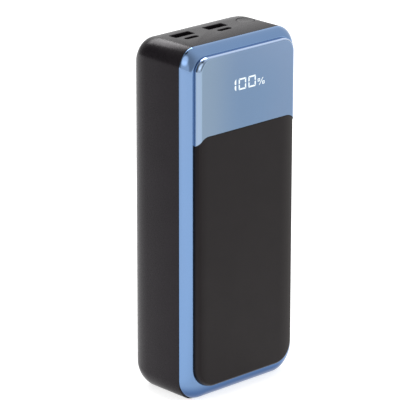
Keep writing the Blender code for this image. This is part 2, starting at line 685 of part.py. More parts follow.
def cell_places():
    """Front and back y of each cell."""
    pitch = CELL_THICKNESS + FOAM_THICKNESS + 2 * CELL_GAP
    fronts = [CELL_FRONT + number * pitch for number in range(3)]
    return [(front, front + CELL_THICKNESS) for front in fronts]


def battery(materials):
    places = cell_places()
    for number, y in enumerate(places, 1):
        middle = sum(y) / 2
        cell = box(f"battery_cell_{number}", (-CELL_X, CELL_X), y, CELL_Z, materials["foil"], 1.6)
        bm = bmesh.new()
        terrace_z = (CELL_Z[1] - 2.0, CELL_Z[1] + CELL_TERRACE)
        add_box(bm, (-TERRACE_X, TERRACE_X), (middle - 0.5, middle + 0.5), terrace_z)
        combine(cell, finish_mesh(bm, f"cell_terrace_tool_{number}", None), "UNION")
        for pole, x in zip(("negative", "positive"), TAB_X):
            tab_y = (middle + 0.5 + THIN_GAP, middle + 0.8 + THIN_GAP)
            tab_z = (CELL_Z[1] + 1.0, PROTECTION_Z[0] - FIT_GAP)
            box(f"{pole}_tab_{number}", (x - 3.0, x + 3.0), tab_y, tab_z, materials["nickel"])
    for number in (1, 2):
        y = (places[number - 1][1] + CELL_GAP, places[number][0] - CELL_GAP)
        box(f"cell_foam_{number}", (-28.0, 28.0), y, (20.0, 118.0), materials["foam"])
    box("rear_foam", (-24.0, 24.0), (places[2][1] + CELL_GAP, BACK_Y - WALL - FIT_GAP), (24.0, 114.0),
        materials["foam"])
    box("shelf_foam", (-21.0, 21.0), (-11.0, 15.5), (SHELF_Z[1] + FIT_GAP, CELL_Z[0] - FIT_GAP),
        materials["foam"])
    sheet_y = (FLOOR_BACK_Y + 0.6, FLOOR_BACK_Y + 1.0)
    box("insulation_sheet", (-30.0, 30.0), sheet_y, (CELL_Z[0] + 0.5, 126.5), materials["fibre"])


def protection_board(materials):
    box("protection_board", (-22.5, 22.5), (-12.5, 15.0), PROTECTION_Z, materials["board"])
    box("protection_chip", (-3.0, 3.0), (0.0, 5.0), (PROTECTION_Z[1] + FIT_GAP, PROTECTION_Z[1] + 1.5),
        materials["chip"])


def battery_lead(name, x, material):
    """A wire from the protection board up through the carrier's notch to the main board."""
    points = [(-7.0, PROTECTION_Z[1] + FIT_GAP), (-7.0, 134.0), (-6.9, 137.0), (-6.3, 140.5), (-5.0, 144.0),
              (-3.2, 146.8), (-1.4, 148.4), (BOARD_FRONT - FIT_GAP, 149.0)]
    curve = bpy.data.curves.new(name, "CURVE")
    curve.dimensions = "3D"
    curve.bevel_depth = 0.9 * MM
    curve.bevel_resolution = 2
    curve.use_fill_caps = True
    spline = curve.splines.new("POLY")
    spline.points.add(len(points) - 1)
    for point, (y, z) in zip(spline.points, points):
        point.co = (x * MM, y * MM, z * MM, 1.0)
    curve.materials.append(material)
    obj = bpy.data.objects.new(name, curve)
    bpy.context.scene.collection.objects.link(obj)


def battery_leads(materials):
    battery_lead("negative_lead", -20.0, materials["black"])
    battery_lead("positive_lead", -16.5, materials["red"])


# ---------------------------------------------------------------- build

def clear_scene():
    for obj in list(bpy.data.objects):
        bpy.data.objects.remove(obj, do_unlink=True)


def build():
    clear_scene()
    materials = make_materials()
    rear_housing(materials)
    front_frame(materials)
    front_panel(materials)
    display_lens(materials)
    tapes(materials)
    frame_screws(materials)
    for number, x in enumerate(PORT_X, 1):
        usb_a_port(number, x, materials)
        usb_c_port(number, x, materials)
    power_button(materials)
    tact_switch(materials)
    main_board(materials)
    board_parts(materials)
    board_carrier(materials)
    board_screws(materials)
    display_parts(materials)
    battery(materials)
    protection_board(materials)
    battery_leads(materials)


build()
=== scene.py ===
"""Looks for the power bank: fine meshes for everything that shows, procedural materials for every piece.

Lengths are in millimetres and turned into metres when a mesh is made.
"""

import json
import math

import bmesh
import bpy
from mathutils import Matrix, Vector


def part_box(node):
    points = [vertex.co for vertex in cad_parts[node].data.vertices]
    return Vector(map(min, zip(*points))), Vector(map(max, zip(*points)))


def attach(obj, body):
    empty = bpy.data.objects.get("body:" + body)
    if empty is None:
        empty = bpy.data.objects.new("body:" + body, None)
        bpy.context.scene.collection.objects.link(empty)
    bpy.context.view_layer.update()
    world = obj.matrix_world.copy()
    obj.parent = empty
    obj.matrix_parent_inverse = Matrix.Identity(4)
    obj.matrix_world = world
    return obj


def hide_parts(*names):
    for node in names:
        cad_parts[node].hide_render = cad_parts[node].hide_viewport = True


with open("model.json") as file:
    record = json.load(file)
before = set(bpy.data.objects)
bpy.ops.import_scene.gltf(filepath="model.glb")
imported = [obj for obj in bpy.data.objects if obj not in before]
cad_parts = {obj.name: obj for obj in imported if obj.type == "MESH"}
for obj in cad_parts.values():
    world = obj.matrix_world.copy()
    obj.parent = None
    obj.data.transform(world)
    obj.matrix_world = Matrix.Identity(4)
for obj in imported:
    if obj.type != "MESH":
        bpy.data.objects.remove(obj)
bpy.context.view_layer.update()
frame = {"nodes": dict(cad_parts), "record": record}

MM = 0.001


def node_box(name):
    """A CAD node's corners in millimetres."""
    low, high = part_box(name)
    return low / MM, high / MM


# ---------------------------------------------------------------- sizes, from the frame

HOUSING_HIGH = node_box("rear_housing")[1]
FRAME_LOW, FRAME_HIGH = node_box("front_frame")
PANEL_LOW, PANEL_HIGH = node_box("front_panel")
LENS_HIGH = node_box("display_lens")[1]
BUTTON_LOW, BUTTON_HIGH = node_box("power_button")

HALF_WIDTH = HOUSING_HIGH.x
HEIGHT = HOUSING_HIGH.z
BACK_Y = HOUSING_HIGH.y
FRONT_Y = PANEL_LOW.y
LEDGE_Y = FRAME_LOW.y
PANE_BACK_Y = PANEL_HIGH.y
PANE_HALF = PANEL_HIGH.x
PANE_LOW = PANEL_LOW.z
PANE_HIGH = LENS_HIGH.z
PANEL_TOP = PANEL_HIGH.z
LENS_SPLIT = 0.25
LIP_END_Y = FRAME_HIGH.y
SEAM_Y = LIP_END_Y - 3.0
CORNER = 10.0
PANE_CORNER = 7.5
PANE_CORNER_BASE = 11.0
PANEL_CORNER = 6.5
WALL = 2.2
SEAM_HALF_GAP = 0.15     # the housing and the frame each stop this far from the seam
SEAM_EDGE = 0.2          # small rounding of the housing's edge at the seam
LIP_GAP = 0.3            # between the frame's lip and the inside of the housing
LIP_WALL = 1.9
TRAY_GAP = 0.4           # between the panes' flat backs and the tray's floor
TRAY_FLOOR = 1.4

SEAT_CLEARANCE = 0.12    # what shows of the gap between the ledge and a pane
SEAT_CLEARANCE_TOP = 0.03
SEAT_INSET = HALF_WIDTH - PANE_HALF - SEAT_CLEARANCE
SEAT_INSET_TOP = HEIGHT - PANE_HIGH - SEAT_CLEARANCE_TOP
SEAT_INSET_BASE = PANE_LOW - SEAT_CLEARANCE
BEAD_INSET = 3.6         # from the outline to the ledge inside the bead
BEAD_INSET_TOP = 3.8
BEAD_INSET_BASE = 5.2
BEAD_POWER = 1.5         # the bead's section lies between an ellipse, at 2, and a chamfer, at 1
BEAD_CORNER_BASE = 12.0  # corner radius of the bead's lower corners at the seam
BEAD_CORNER_DROP = 0.7   # how much less the bead's corner radii are at the ledge
EDGE_DEPTH = 3.3         # a pane's edge curves in over this depth
EDGE_WIDTH = 1.9         # and this width
EDGE_WIDTH_TOP = 0.8
CROWN_START = 26.0       # beyond this distance from the middle the panel bends back
CROWN_DEPTH = 0.7        # by this much at its sides
CROWN_STEPS = 8
EDGE_STEPS = 24
DISH_MARGIN = 2.4        # rim that is left round the hollow in a pane's back
DISH_DEPTH = 1.5         # how far behind the front face that hollow stops
REAR_ROUND_INSET = 6.0
REAR_ROUND_DEPTH = 12.8

USB_A_MOUTH = (12.6, 5.2)
USB_A_MOUTH_CORNER = 0.6
USB_C_MOUTH = (8.5, 2.7)
USB_C_MOUTH_CORNER = 1.3
MOUTH_CHAMFER = 0.25
BUTTON_HOLE = 9.4
BUTTON_HOLE_CHAMFER = 0.12
CAP_RADIUS = 4.52
CAP_ROUND = 0.25         # rounding of the button cap's upper edge
STEM_RADIUS = 1.5
STEM_LENGTH = 1.0
FLANGE_RADIUS = 5.1
FLANGE_HEIGHT = 0.9

CORNER_STEPS = 24
FILLET_STEPS = 20
CAP_SEGMENTS = 64


# ---------------------------------------------------------------- mesh helpers

def mesh_object(bm, name, smooth_angle=40.0):
    bmesh.ops.recalc_face_normals(bm, faces=bm.faces)
    bmesh.ops.scale(bm, vec=Vector((MM, MM, MM)), verts=bm.verts)
    mesh = bpy.data.meshes.new(name)
    bm.to_mesh(mesh)
    bm.free()
    mesh.shade_smooth()
    mesh.set_sharp_from_angle(angle=math.radians(smooth_angle))
    obj = bpy.data.objects.new(name, mesh)
    bpy.context.scene.collection.objects.link(obj)
    return obj


def rounded_outline(half_x, low_z, high_z, radius, steps=CORNER_STEPS, base_radius=None):
    """Points (x, z) of a rounded rectangle, anticlockwise seen from the front."""
    points = []
    base_radius = radius if base_radius is None else base_radius
    corners = ((half_x, high_z, 0, radius), (-half_x, high_z, 90, radius),
               (-half_x, low_z, 180, base_radius), (half_x, low_z, 270, base_radius))
    for corner_x, corner_z, start, radius in corners:
        middle_x = corner_x - math.copysign(radius, corner_x)
        middle_z = corner_z - radius if corner_z == high_z else corner_z + radius
        for step in range(steps + 1):
            angle = math.radians(start + 90 * step / steps)
            points.append((middle_x + radius * math.cos(angle), middle_z + radius * math.sin(angle)))
    return points


def inset_outline(inset, radius=None):
    """The object's own outline, moved inwards."""
    radius = CORNER - inset if radius is None else radius
    return framed_outline(inset, inset, inset, radius)


def framed_outline(side, top, base, radius, base_radius=None):
    """The object's own outline, moved inwards by a different distance on each side."""
    return rounded_outline(HALF_WIDTH - side, base, HEIGHT - top, radius, base_radius=base_radius)


def add_loft(bm, rings):
    """A closed body through rings of (outline, y), capped at both ends."""
    loops = []
    for outline, y in rings:
        loops.append([bm.verts.new((x, y, z)) for x, z in outline])
    bridge_loops(bm, loops)


def bridge_loops(bm, loops):
    """Joins each loop of vertices to the next and caps both ends."""
    count = len(loops[0])
    for first, second in zip(loops, loops[1:]):
        for index in range(count):
            following = (index + 1) % count
            bm.faces.new((first[index], first[following], second[following], second[index]))
    bm.faces.new(loops[0])
    bm.faces.new(loops[-1])


def loft(name, rings, smooth_angle=40.0):
    bm = bmesh.new()
    add_loft(bm, rings)
    return mesh_object(bm, name, smooth_angle)


def slot_outline(centre, size, radius, steps=8):
    """Points (x, y) of a rounded rectangle seen from above."""
    points = []
    for corner, (sign_x, sign_y) in enumerate(((1, 1), (-1, 1), (-1, -1), (1, -1))):
        middle_x = centre[0] + sign_x * (size[0] / 2 - radius)
        middle_y = centre[1] + sign_y * (size[1] / 2 - radius)
        for step in range(steps + 1):
            angle = math.radians(90 * corner + 90 * step / steps)
            points.append((middle_x + radius * math.cos(angle), middle_y + radius * math.sin(angle)))
    return points


def add_slot(bm, centre, size, radius, rings):
    """An upright body on a rounded rectangle; rings lists (growth, z) from end to end."""
    loops = []
    for growth, z in rings:
        grown = (size[0] + 2 * growth, size[1] + 2 * growth)
        outline = slot_outline(centre, grown, radius + growth)
        loops.append([bm.verts.new((x, y, z)) for x, y in outline])
    bridge_loops(bm, loops)


def combine(target, tool, operation):
    """Applies a Boolean and removes the tool."""
    modifier = target.modifiers.new("combine", "BOOLEAN")
    modifier.operation = operation
    modifier.solver = "EXACT"
    modifier.object = tool
    apply_modifiers(target)
    bpy.data.objects.remove(tool, do_unlink=True)


def apply_modifiers(obj):
    bpy.context.view_layer.update()
    evaluated = obj.evaluated_get(bpy.context.evaluated_depsgraph_get())
    mesh = bpy.data.meshes.new_from_object(evaluated)
    obj.modifiers.clear()
    obj.data = mesh


def soften_edges(obj, width, angle=50.0, segments=2, material_index=-1):
    """A small bevel on the sharp edges, with normals that keep the flat faces flat."""
    bevel = obj.modifiers.new("soften", "BEVEL")
    bevel.width = width * MM
    bevel.segments = segments
    bevel.limit_method = "ANGLE"
    bevel.angle_limit = math.radians(angle)
    bevel.harden_normals = True
    bevel.material = material_index
    apply_modifiers(obj)


# ---------------------------------------------------------------- materials

class Nodes:
    """A small helper round one material's node tree."""

    def __init__(self, name):
        self.material = bpy.data.materials.new(name)
        self.material.use_nodes = True
        self.tree = self.material.node_tree
        self.shader = self.tree.nodes["Principled BSDF"]

    def add(self, kind, **inputs):
        node = self.tree.nodes.new(kind)
        for key, value in inputs.items():
            node.inputs[key.replace("_", " ")].default_value = value
        return node

    def link(self, source, target):
        self.tree.links.new(source, target)

    def place(self, scale):
        """Object coordinates in metres, stretched by scale along x, y and z."""
        coordinates = self.tree.nodes.new("ShaderNodeTexCoord")
        mapping = self.add("ShaderNodeMapping", Scale=scale)
        self.link(coordinates.outputs["Object"], mapping.inputs["Vector"])
        return mapping.outputs["Vector"]

    def noise(self, scale, detail=3.0, roughness=0.5, stretch=(1.0, 1.0, 1.0)):
        node = self.add("ShaderNodeTexNoise", Scale=scale, Detail=detail, Roughness=roughness)
        self.link(self.place(stretch), node.inputs["Vector"])
        return node.outputs["Fac"]

    def along(self, direction, start_end, values):
        """A value that changes smoothly between two distances along a direction."""
        distance = self.tree.nodes.new("ShaderNodeVectorMath")
        distance.operation = "DOT_PRODUCT"
        distance.inputs[1].default_value = direction
        self.link(self.place((1.0, 1.0, 1.0)), distance.inputs[0])
        node = self.add("ShaderNodeMapRange", From_Min=start_end[0], From_Max=start_end[1],
                        To_Min=values[0], To_Max=values[1])
        node.interpolation_type = "SMOOTHSTEP"
        self.link(distance.outputs["Value"], node.inputs["Value"])
        return node.outputs["Result"]

    def spread(self, value, low, high):
        """Maps a noise value to a range."""
        node = self.add("ShaderNodeMapRange", From_Min=0.3, From_Max=0.7, To_Min=low, To_Max=high)
        self.link(value, node.inputs["Value"])
        return node.outputs["Result"]

    def ramp(self, value, stops):
        node = self.tree.nodes.new("ShaderNodeValToRGB")
        elements = node.color_ramp.elements
        while len(elements) < len(stops):
            elements.new(0.5)
        for element, (position, colour) in zip(elements, stops):
            element.position = position
            element.color = (*colour, 1.0)
        self.link(value, node.inputs["Fac"])
        return node.outputs["Color"]

    def mixed(self, factor, first, second):
        """Goes from the first colour to the second; either is a constant or a socket."""
        node = self.tree.nodes.new("ShaderNodeMix")
        node.data_type = "RGBA"
        self.link(factor, node.inputs["Factor"])
        colour_inputs = [socket for socket in node.inputs if socket.type == "RGBA"]
        for colour, socket in zip((first, second), colour_inputs):
            if isinstance(colour, tuple):
                socket.default_value = (*colour, 1.0)
            else:
                self.link(colour, socket)
        return [socket for socket in node.outputs if socket.type == "RGBA"][0]

    def bump(self, value, strength, distance, normal=None):
        node = self.add("ShaderNodeBump", Strength=strength, Distance=distance)
        self.link(value, node.inputs["Height"])
        if normal is not None:
            self.link(normal, node.inputs["Normal"])
        return node.outputs["Normal"]

    def set(self, **inputs):
        for key, value in inputs.items():
            self.shader.inputs[key.replace("_", " ")].default_value = value


def shade(colour, factor):
    return tuple(min(channel * factor, 1.0) for channel in colour)


def moulded(name, colour, roughness, grain=0.00004, metallic=0.0, specular=0.5, variation=0.12,
            sheen_tint=(1.0, 1.0, 1.0), painted_right_sheen=None):
    """Moulded plastic or plain metal: cloudy colour, uneven gloss and a fine grain.

    A colour given for the right edge is faded to along the object's right edge, as a painted reflection of
    the light there.
    """
    nodes = Nodes(name)
    cloud = nodes.noise(60.0, 4.0)
    colours = nodes.ramp(cloud, ((0.3, shade(colour, 1 - variation)), (0.7, shade(colour, 1 + variation))))
    if painted_right_sheen is not None:
        # Painted reflection: the colour lightens towards the right edge.
        fade = nodes.along((1.0, 0.0, 0.0), (0.022, 0.034), (0.0, 1.0))
        colours = nodes.mixed(fade, colours, painted_right_sheen)
    nodes.link(colours, nodes.shader.inputs["Base Color"])
    gloss = nodes.spread(nodes.noise(350.0, 3.0), roughness * 0.88, roughness * 1.12)
    nodes.link(gloss, nodes.shader.inputs["Roughness"])
    texture = nodes.noise(7000.0, 2.0, 0.6)
    nodes.link(nodes.bump(texture, 0.35, grain), nodes.shader.inputs["Normal"])
    nodes.set(Metallic=metallic, Specular_IOR_Level=specular, Specular_Tint=(*sheen_tint, 1.0))
    return nodes.material


def housing_plastic():
    return moulded("housing_plastic", (0.0088, 0.0072, 0.0088), 0.27, 0.000006, specular=0.205,
                   sheen_tint=(1.0, 0.93, 1.0))


def panel_plastic():
    # The right edge fades to a lighter colour, a painted reflection of light on the panel's curved side.
    return moulded("panel_plastic", (0.0088, 0.0071, 0.0075), 0.38, 0.00001, specular=0.185,
                   sheen_tint=(1.0, 0.93, 0.94), painted_right_sheen=(0.034, 0.031, 0.030))


def button_plastic():
    return moulded("button_plastic", (0.0095, 0.008, 0.0095), 0.27, 0.000008, specular=0.25,
                   sheen_tint=(1.0, 0.93, 1.0))


def blue_chrome(name, colour, warm, roughness):
    """Plated plastic: slow drifts of tint, faint orange-peel waves and fine haze."""
    nodes = Nodes(name)
    drift = nodes.noise(16.0, 2.0, 0.5, (1.0, 1.0, 0.6))
    tint = nodes.ramp(drift, ((0.32, colour), (0.68, warm)))
    haze = nodes.spread(nodes.noise(220.0, 4.0, 0.6), roughness * 0.8, roughness * 1.2)
    nodes.link(haze, nodes.shader.inputs["Roughness"])
    waves = nodes.noise(90.0, 1.0)
    nodes.link(nodes.bump(waves, 0.12, 0.00006), nodes.shader.inputs["Normal"])
    nodes.set(Metallic=1.0)
    return nodes, tint


def frame_chrome():
    """Blue chrome with painted shade: its colour turns a deeper blue along the lower edge, in place of the
    shadowed floor it would mirror there.
    """
    nodes, tint = blue_chrome("frame_chrome", (0.17, 0.29, 0.51), (0.195, 0.30, 0.495), 0.11)
    # Painted shade: the chrome's colour darkens towards its bottom edge.
    height = nodes.along((0.0, 0.0, 1.0), (0.004, 0.010), (0.0, 1.0))
    painted_shade_tint = nodes.mixed(height, (0.068, 0.136, 0.30), tint)
    nodes.link(painted_shade_tint, nodes.shader.inputs["Base Color"])
    return nodes.material


def lens_mirror():
    """Mirror coating under clear plastic, with painted reflections: the face is paler towards the left,
    and the rim that curves back is paler on the left, darker on the right and lightest along the top,
    where a painted highlight runs.
    """
    nodes, tint = blue_chrome("lens_mirror", (0.163, 0.275, 0.453), (0.195, 0.275, 0.428), 0.1)
    # Painted reflection: the face is paler towards its left side.
    pale = nodes.along((1.0, 0.0, 0.0), (-0.032, -0.002), (1.0, 0.0))
    face = nodes.mixed(pale, tint, (0.24, 0.345, 0.475))
    # Painted reflection: the curved rim is paler on the left and darker on the right.
    side = nodes.along((1.0, 0.0, 0.0), (-0.01, 0.025), (0.0, 1.0))
    rim = nodes.mixed(side, (0.25, 0.345, 0.49), (0.15, 0.18, 0.26))
    # Painted highlight: a light line along the rim's top edge.
    top = nodes.along((0.0, 0.0, 1.0), ((PANE_HIGH - 3.0) * MM, (PANE_HIGH - 1.0) * MM), (0.0, 1.0))
    rim = nodes.mixed(top, rim, (0.34, 0.47, 0.72))
    front = FRONT_Y * MM
    turned = nodes.along((0.0, 1.0, 0.0), (front + 0.00005, front + 0.0005), (0.0, 1.0))
    nodes.link(nodes.mixed(turned, face, rim), nodes.shader.inputs["Base Color"])
    nodes.set(Coat_Weight=1.0, Coat_Roughness=0.03)
    return nodes.material


def lens_cut_edge():
    """Bare clear plastic along the lens's cut edge; its pale colour also paints the highlight that this
    edge catches.
    """
    return moulded("lens_cut_edge", (0.34, 0.42, 0.5), 0.3, 0.00002, specular=0.5)


def digit_light():
    """Lit segments: white with a trace of cyan, a little brighter in the middle of each patch."""
    nodes = Nodes("digit_light")
    glow = nodes.noise(900.0, 1.0)
    colour = nodes.ramp(glow, ((0.3, (0.83, 0.96, 1.0)), (0.7, (0.95, 1.0, 1.0))))
    nodes.link(colour, nodes.shader.inputs["Emission Color"])
    nodes.set(Base_Color=(0.08, 0.1, 0.12, 1.0), Emission_Strength=1.0, Roughness=0.4)
    return nodes.material


def brushed_metal(name, colour, roughness, stretch):
    nodes = Nodes(name)
    lines = nodes.noise(900.0, 3.0, 0.6, stretch)
    colours = nodes.ramp(lines, ((0.3, shade(colour, 0.85)), (0.7, shade(colour, 1.1))))
    nodes.link(colours, nodes.shader.inputs["Base Color"])
    nodes.link(nodes.spread(lines, roughness * 0.8, roughness * 1.25), nodes.shader.inputs["Roughness"])
    nodes.link(nodes.bump(lines, 0.15, 0.00002), nodes.shader.inputs["Normal"])
    nodes.set(Metallic=1.0)
    return nodes.material


def circuit_board():
    """Green solder mask over the faint pattern of copper tracks."""
    nodes = Nodes("circuit_board")
    coordinates = nodes.place((1.0, 1.0, 1.0))
    tracks = nodes.add("ShaderNodeTexBrick", Scale=260.0, Mortar_Size=0.03)
    tracks.inputs["Color1"].default_value = (0.012, 0.11, 0.05, 1.0)
    tracks.inputs["Color2"].default_value = (0.010, 0.085, 0.04, 1.0)
    tracks.inputs["Mortar"].default_value = (0.03, 0.2, 0.09, 1.0)
    nodes.link(coordinates, tracks.inputs["Vector"])
    nodes.link(tracks.outputs["Color"], nodes.shader.inputs["Base Color"])
    nodes.link(nodes.spread(nodes.noise(400.0), 0.3, 0.45), nodes.shader.inputs["Roughness"])
    nodes.link(nodes.bump(tracks.outputs["Fac"], 0.2, 0.00003), nodes.shader.inputs["Normal"])
    return nodes.material


def foam():
    nodes = Nodes("black_foam")
    cells = nodes.add("ShaderNodeTexVoronoi", Scale=2600.0)
    nodes.link(nodes.place((1.0, 1.0, 1.0)), cells.inputs["Vector"])
    stops = ((0.1, (0.008, 0.008, 0.009)), (0.6, (0.035, 0.035, 0.037)))
    pores = nodes.ramp(cells.outputs["Distance"], stops)
    nodes.link(pores, nodes.shader.inputs["Base Color"])
    nodes.link(nodes.bump(cells.outputs["Distance"], 0.7, 0.0002), nodes.shader.inputs["Normal"])
    nodes.set(Roughness=0.95)
    return nodes.material


def slot_materials():
    """One material for each of the record's slots."""
    return {
        "housing_plastic": housing_plastic(),
        "frame_chrome": frame_chrome(),
        "lens_mirror": lens_mirror(),
        "panel_plastic": panel_plastic(),
        "button_plastic": button_plastic(),
        "black_foam": foam(),
        "adhesive_tape": moulded("adhesive_tape", (0.55, 0.54, 0.47), 0.6),
        "fibre_sheet": moulded("fibre_sheet", (0.42, 0.33, 0.17), 0.8, 0.00008),
        "carrier_plastic": moulded("carrier_plastic", (0.27, 0.28, 0.29), 0.5),
        "circuit_board": circuit_board(),
        "plated_steel": brushed_metal("plated_steel", (0.55, 0.55, 0.56), 0.32, (1.0, 1.0, 0.1)),
        "connector_plastic": moulded("connector_plastic", (0.012, 0.012, 0.014), 0.5),
        "chip_plastic": moulded("chip_plastic", (0.012, 0.012, 0.014), 0.55, 0.00006),
        "ferrite": moulded("ferrite", (0.05, 0.05, 0.055), 0.65, 0.00008),
        "can_aluminium": brushed_metal("can_aluminium", (0.68, 0.69, 0.71), 0.35, (1.0, 0.1, 1.0)),
        "nickel_strip": brushed_metal("nickel_strip", (0.6, 0.57, 0.5), 0.3, (0.1, 1.0, 1.0)),
        "cell_foil": moulded("cell_foil", (0.6, 0.62, 0.65), 0.38, 0.0001, 0.85),
        "red_insulation": moulded("red_insulation", (0.45, 0.02, 0.012), 0.45),
        "black_insulation": moulded("black_insulation", (0.012, 0.012, 0.012), 0.45),
        "ribbon_film": moulded("ribbon_film", (0.5, 0.2, 0.04), 0.35),
        "display_plastic": moulded("display_plastic", (0.02, 0.02, 0.022), 0.3),
    }


# ---------------------------------------------------------------- pieces

def stand_for(piece, node, body, material):
    """piece takes the place of a CAD node; it gets the material unless it has its own already."""
    if not piece.data.materials:
        piece.data.materials.append(material)
    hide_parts(node)
    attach(piece, body)


def housing_shell():
    """The tub with its wall, seam edge and rounded rear."""
    straight_end = BACK_Y - REAR_ROUND_DEPTH
    front = SEAM_Y + SEAM_HALF_GAP
    edge = SEAM_EDGE
    rings = []
    for step in range(FILLET_STEPS + 1):
        angle = math.pi / 2 * (1 - step / FILLET_STEPS)
        inset = REAR_ROUND_INSET * (1 - math.cos(angle))
        depth = REAR_ROUND_DEPTH * math.sin(angle)
        rings.append((inset_outline(inset, radius=CORNER), straight_end + depth))
    rings.append((inset_outline(0), front + edge))
    rings.append((inset_outline(edge * 0.3), front + edge * 0.3))
    rings.append((inset_outline(edge), front))
    rings.append((inset_outline(WALL), front))
    for step in range(FILLET_STEPS + 1):
        angle = math.pi / 2 * step / FILLET_STEPS
        inset = WALL + REAR_ROUND_INSET * (1 - math.cos(angle))
        depth = (REAR_ROUND_DEPTH - WALL) * math.sin(angle)
        rings.append((inset_outline(inset, radius=CORNER - WALL), straight_end + depth))
    return loft("housing_skin", rings)


def mouth_rings(bottom, chamfer):
    """Rings of (growth, z) for a straight hole that widens at the top face and runs on above it."""
    above = 0.5
    return ((0.0, bottom), (0.0, HEIGHT - chamfer), (chamfer + above, HEIGHT + above))


def port_tool():
    """Cuts the sockets' mouths and the button's hole, each with a small chamfer at the top face."""
    bm = bmesh.new()
    bottom = HEIGHT - WALL - 1.0
    rings = mouth_rings(bottom, MOUTH_CHAMFER)
    for number in (1, 2):
        low, high = node_box(f"usb_a_shell_{number}")
        centre = ((low.x + high.x) / 2, (low.y + high.y) / 2)
        add_slot(bm, centre, USB_A_MOUTH, USB_A_MOUTH_CORNER, rings)
        low, high = node_box(f"usb_c_shell_{number}")
        centre = ((low.x + high.x) / 2, (low.y + high.y) / 2)
        add_slot(bm, centre, USB_C_MOUTH, USB_C_MOUTH_CORNER, rings)
    rings = mouth_rings(bottom, BUTTON_HOLE_CHAMFER)
    add_slot(bm, button_centre(), (BUTTON_HOLE, BUTTON_HOLE), BUTTON_HOLE / 2 - 0.01, rings)
    return mesh_object(bm, "port_tool")


def button_centre():
    return ((BUTTON_LOW.x + BUTTON_HIGH.x) / 2, (BUTTON_LOW.y + BUTTON_HIGH.y) / 2)


def make_housing(materials):
    housing = housing_shell()
    combine(housing, port_tool(), "DIFFERENCE")
    housing.data.shade_smooth()
    housing.data.set_sharp_from_angle(angle=math.radians(25))
    stand_for(housing, "rear_housing", "housing", materials["housing_plastic"])


def make_frame(materials):
    """The chromed bead, the flat ledge inside it, and the tray that holds the panes."""
    seat = framed_outline(SEAT_INSET, SEAT_INSET_TOP, SEAT_INSET_BASE, PANE_CORNER, PANE_CORNER_BASE)
    floor_y = PANE_BACK_Y + TRAY_GAP
    rear = SEAM_Y - SEAM_HALF_GAP
    rings = [(seat, floor_y), (seat, LEDGE_Y)]
    for step in range(FILLET_STEPS + 1):
        angle = math.pi / 2 * (1 - step / FILLET_STEPS)
        inward = 1 - max(math.cos(angle), 0.0) ** (2 / BEAD_POWER)
        forward = math.sin(angle) ** (2 / BEAD_POWER)
        drop = BEAD_CORNER_DROP * inward
        outline = framed_outline(BEAD_INSET * inward, BEAD_INSET_TOP * inward, BEAD_INSET_BASE * inward,
                                 CORNER - drop, BEAD_CORNER_BASE - drop)
        rings.append((outline, rear + (LEDGE_Y - rear) * forward))
    lip = WALL + LIP_GAP
    rings.append((inset_outline(lip), rear))
    rings.append((inset_outline(lip), LIP_END_Y))
    rings.append((inset_outline(lip + LIP_WALL), LIP_END_Y))
    rings.append((inset_outline(lip + LIP_WALL), floor_y + TRAY_FLOOR))
    bead = loft("chrome_bead", rings)
    stand_for(bead, "front_frame", "housing", materials["frame_chrome"])


def pane_rings():
    """A thick plate with a rounded front edge, and the rings that its sides bend back at."""
    rings = [(pane_outline(0.0), PANE_BACK_Y)]
    for step in range(EDGE_STEPS + 1):
        angle = math.pi / 2 * step / EDGE_STEPS
        rings.append((pane_outline(1 - math.cos(angle)), FRONT_Y + EDGE_DEPTH * (1 - math.sin(angle))))
    for step in range(1, CROWN_STEPS + 1):
        share = step / CROWN_STEPS
        narrower = (PANE_HALF - EDGE_WIDTH - CROWN_START) * share
        rings.append((pane_outline(1.0, narrower, 0.2 * share), FRONT_Y))
    return rings


def pane_outline(turned, narrower=0.0, lower=0.0):
    """The pane's outline where its edge has turned in by a share, made narrower and lower by a little."""
    side = EDGE_WIDTH * turned
    top = EDGE_WIDTH_TOP * turned
    drop = 0.6 * side
    return rounded_outline(PANE_HALF - side - narrower, PANE_LOW + side + lower, PANE_HIGH - top - lower,
                           PANE_CORNER - drop, base_radius=PANE_CORNER_BASE - drop)


def bend_sides(pane):
    """Bends the pane back towards its left and right sides, in front of its flat rear."""
    for vertex in pane.data.vertices:
        beyond = max(abs(vertex.co.x) / MM - CROWN_START, 0.0) / (PANE_HALF - CROWN_START)
        if vertex.co.y < (FRONT_Y + EDGE_DEPTH + 0.01) * MM:
            vertex.co.y += CROWN_DEPTH * MM * beyond ** 3


def split_tool(grow):
    """A prism wider than the pane, whose rounded top corners shape the panel and the lens above it."""
    half = PANE_HALF + 0.2 + grow
    outline = rounded_outline(half, -10.0, PANEL_TOP + grow, PANEL_CORNER + grow)
    return loft("split_tool", [(outline, FRONT_Y - 3.0), (outline, PANE_BACK_Y + 2.0)])


def dish_tool(low_z, high_z):
    """Hollows the back of the pane that lies between two heights."""
    outline = rounded_outline(PANE_HALF - DISH_MARGIN, low_z + DISH_MARGIN, high_z - DISH_MARGIN,
                              PANE_CORNER - DISH_MARGIN, 8)
    return loft("dish_tool", [(outline, FRONT_Y + DISH_DEPTH), (outline, PANE_BACK_Y + 2.0)])


def make_panel(materials):
    panel = loft("panel_cover", pane_rings())
    bend_sides(panel)
    combine(panel, split_tool(0.0), "INTERSECT")
    combine(panel, dish_tool(PANE_LOW, PANEL_TOP), "DIFFERENCE")
    soften_edges(panel, 0.12)
    stand_for(panel, "front_panel", "housing", materials["panel_plastic"])


def make_lens(materials):
    lens = loft("mirror_lens", pane_rings())
    combine(lens, split_tool(LENS_SPLIT), "DIFFERENCE")
    combine(lens, dish_tool(PANEL_TOP + LENS_SPLIT, PANE_HIGH), "DIFFERENCE")
    lens.data.materials.append(materials["lens_mirror"])
    lens.data.materials.append(lens_cut_edge())
    # The rounded-off edges take the pale edge material, which partly paints the highlight along them.
    soften_edges(lens, 0.5, segments=3, material_index=1)
    stand_for(lens, "display_lens", "housing", materials["lens_mirror"])


